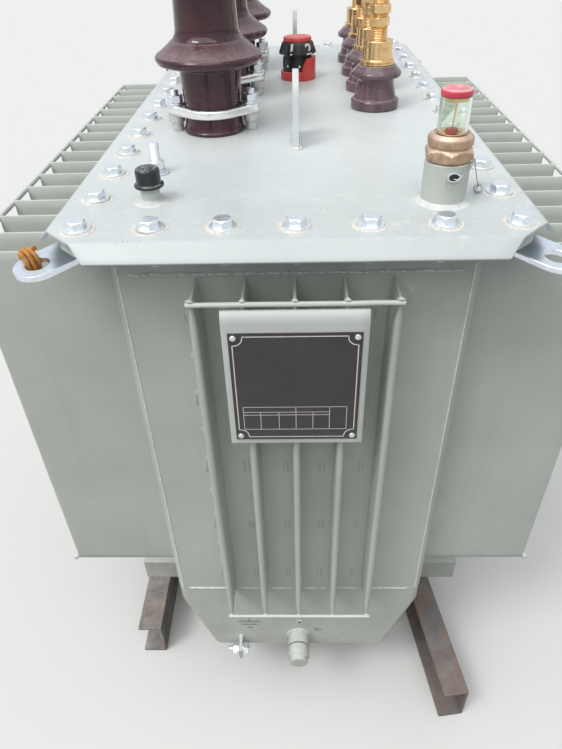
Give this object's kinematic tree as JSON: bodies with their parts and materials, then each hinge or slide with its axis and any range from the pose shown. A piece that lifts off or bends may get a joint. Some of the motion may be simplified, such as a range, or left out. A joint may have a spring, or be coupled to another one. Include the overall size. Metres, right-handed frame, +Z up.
{
  "type": "power transformer",
  "caption": "Oil-filled distribution transformer with corrugated cooling walls, brown porcelain bushings and brass terminals, on two loose steel channels.",
  "frame": {"origin": "on the floor, under the middle of the cover's plan", "axes": "+X to the low voltage side, +Y from the end with the filler and rating plate to the back, +Z up"},
  "size_m": [0.758, 1.0366, 1.2528],
  "materials": {
    "tank_paint": "satin grey-green enamel",
    "cover_paint": "satin grey enamel, dusty",
    "porcelain": "glossy dark brown glaze",
    "cast_aluminium": "rough casting",
    "brass": "machined",
    "bronze": "dull",
    "zinc": "bright zinc plating",
    "red_plastic": "glossy",
    "black_plastic": "satin",
    "plate_black": "black etched plate",
    "gasket_rubber": "matte",
    "gauge_glass": "clear",
    "rusty_steel": "rusty rolled steel",
    "bare_steel": "plain, not seen"
  },
  "bodies": {
    "tank": {"core_and_windings": "bare_steel", "corner_eye_back_left": "zinc", "corner_eye_back_right": "zinc", "corner_eye_front_left": "zinc", "corner_eye_front_right": "zinc", "cover_gasket": "gasket_rubber", "cover_lug_back": "cover_paint", "cover_lug_front": "cover_paint", "cross_member_back": "tank_paint", "cross_member_front": "tank_paint", "drain_cap": "tank_paint", "filler_cap": "black_plastic", "hv_bushing_1": "porcelain", "hv_bushing_2": "porcelain", "hv_bushing_3": "porcelain", "hv_clamp_1": "cast_aluminium", "hv_clamp_2": "cast_aluminium", "hv_clamp_3": "cast_aluminium", "hv_terminal_1": "brass", "hv_terminal_2": "brass", "hv_terminal_3": "brass", "lv_bushing_1": "porcelain", "lv_bushing_2": "porcelain", "lv_bushing_3": "porcelain", "lv_bushing_4": "porcelain", "lv_terminal_1": "brass", "lv_terminal_2": "brass", "lv_terminal_3": "brass", "lv_terminal_4": "brass", "oil_gauge_body": "bronze", "oil_gauge_cap": "red_plastic", "oil_gauge_glass": "gauge_glass", "plate_bracket": "tank_paint", "rating_plate": "plate_black", "stand_channel_left": "rusty_steel", "stand_channel_right": "rusty_steel", "tank_bottom": "tank_paint", "tank_cover": "cover_paint", "tank_flange": "tank_paint", "tank_wall_back": "tank_paint", "tank_wall_front": "tank_paint", "tank_wall_left": "tank_paint", "tank_wall_right": "tank_paint", "tap_changer_base": "red_plastic"},
    "dial": {"tap_changer_dial": "black_plastic", "tap_changer_cap": "red_plastic"}
  },
  "joints": [
    {"name": "tap_dial_turn", "type": "hinge", "parent": "tank", "child": "dial", "pos_m": [0.007, 0.172, 0.9935], "axis": [0, 0, 1], "range_deg": [-180, 60]}
  ]
}
